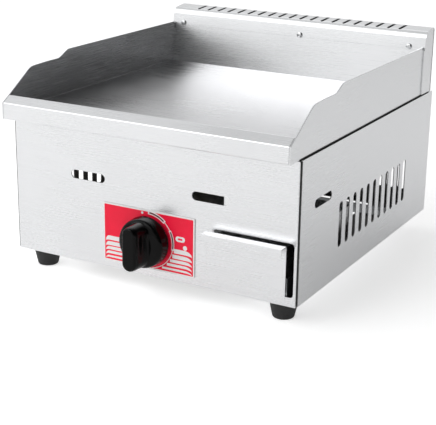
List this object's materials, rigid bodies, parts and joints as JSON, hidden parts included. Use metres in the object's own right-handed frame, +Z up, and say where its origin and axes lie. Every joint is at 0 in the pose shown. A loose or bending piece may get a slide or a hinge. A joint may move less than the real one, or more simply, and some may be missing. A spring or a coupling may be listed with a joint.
{
  "type": "flat top griddle",
  "caption": "Table-top gas griddle: steel cooking plate in splash guards, flue hood, control knob and pull-out grease drawer on rubber feet.",
  "frame": {"origin": "on the ground under the middle of the object's box", "axes": "+Z up, -Y out of the front with the knob, +X to the right of someone facing the front"},
  "size_m": [0.4, 0.522, 0.2906],
  "materials": {
    "stainless": "satin brushed stainless sheet",
    "plate_steel": "ground cooking plate",
    "galvanised": "galvanised sheet",
    "black_steel": "heat-resistant black paint",
    "brass": "machined brass",
    "black_plastic": "glossy black plastic",
    "rubber": "matt black rubber",
    "printed_red": "red and white screen print",
    "zinc": "bright zinc plate",
    "ceramic": "glazed white ceramic",
    "silicone": "red silicone sleeve"
  },
  "bodies": {
    "casing": {"front_panel": "stainless", "left_side_panel": "stainless", "right_side_panel": "stainless", "back_panel": "stainless", "front_rim": "stainless", "left_splash_guard": "stainless", "right_splash_guard": "stainless", "rear_splash": "stainless", "flue_hood": "stainless", "left_flue_end": "stainless", "right_flue_end": "stainless", "grease_trough": "stainless", "grease_chute": "stainless", "griddle_plate": "plate_steel", "front_base_strap": "galvanised", "rear_base_strap": "galvanised", "back_base_strap": "galvanised", "heat_shield": "galvanised", "left_drawer_runner": "galvanised", "right_drawer_runner": "galvanised", "left_plate_rail": "black_steel", "right_plate_rail": "black_steel", "burner_tube": "black_steel", "mixing_tube": "black_steel", "front_burner_bracket": "black_steel", "rear_burner_bracket": "black_steel", "valve_body": "brass", "gas_jet": "brass", "gas_pipe": "brass", "pipe_nut": "brass", "inlet_nipple": "brass", "piezo_igniter": "black_plastic", "foot_1": "rubber", "foot_2": "rubber", "foot_3": "rubber", "foot_4": "rubber", "control_plate": "printed_red", "valve_nut": "zinc", "return_spring": "zinc", "inlet_locknut": "zinc", "foot_screw_1": "zinc", "foot_screw_2": "zinc", "foot_screw_3": "zinc", "foot_screw_4": "zinc", "hood_screw_1": "zinc", "hood_screw_2": "zinc", "hood_screw_3": "zinc", "back_screw_1": "zinc", "back_screw_2": "zinc", "back_screw_3": "zinc", "back_screw_4": "zinc", "spark_electrode": "ceramic", "ignition_lead": "silicone"},
    "drawer": {"drawer_tray": "stainless", "drawer_front": "stainless"},
    "valve_plunger": {"spring_cup": "zinc"},
    "knob": {"knob": "black_plastic", "knob_clip": "zinc", "valve_stem": "zinc"},
    "air_shutter": {"air_shutter": "zinc"}
  },
  "joints": [
    {"name": "drawer_slide", "type": "slide", "parent": "casing", "child": "drawer", "axis": [0, -1, 0], "range_m": [0, 0.185]},
    {"name": "knob_push", "type": "slide", "parent": "casing", "child": "valve_plunger", "axis": [0, 1, 0], "range_m": [0, 0.0032], "stiffness_N_per_m": 900, "springref_m": -0.004, "deforming": ["return_spring"]},
    {"name": "knob_turn", "type": "hinge", "parent": "valve_plunger", "child": "knob", "pos_m": [0, -0.235, 0.0715], "axis": [0, 1, 0], "range_deg": [0, 180]},
    {"name": "shutter_turn", "type": "hinge", "parent": "casing", "child": "air_shutter", "pos_m": [0, -0.157, 0.0715], "axis": [0, 1, 0], "range_deg": [0, 90]}
  ]
}
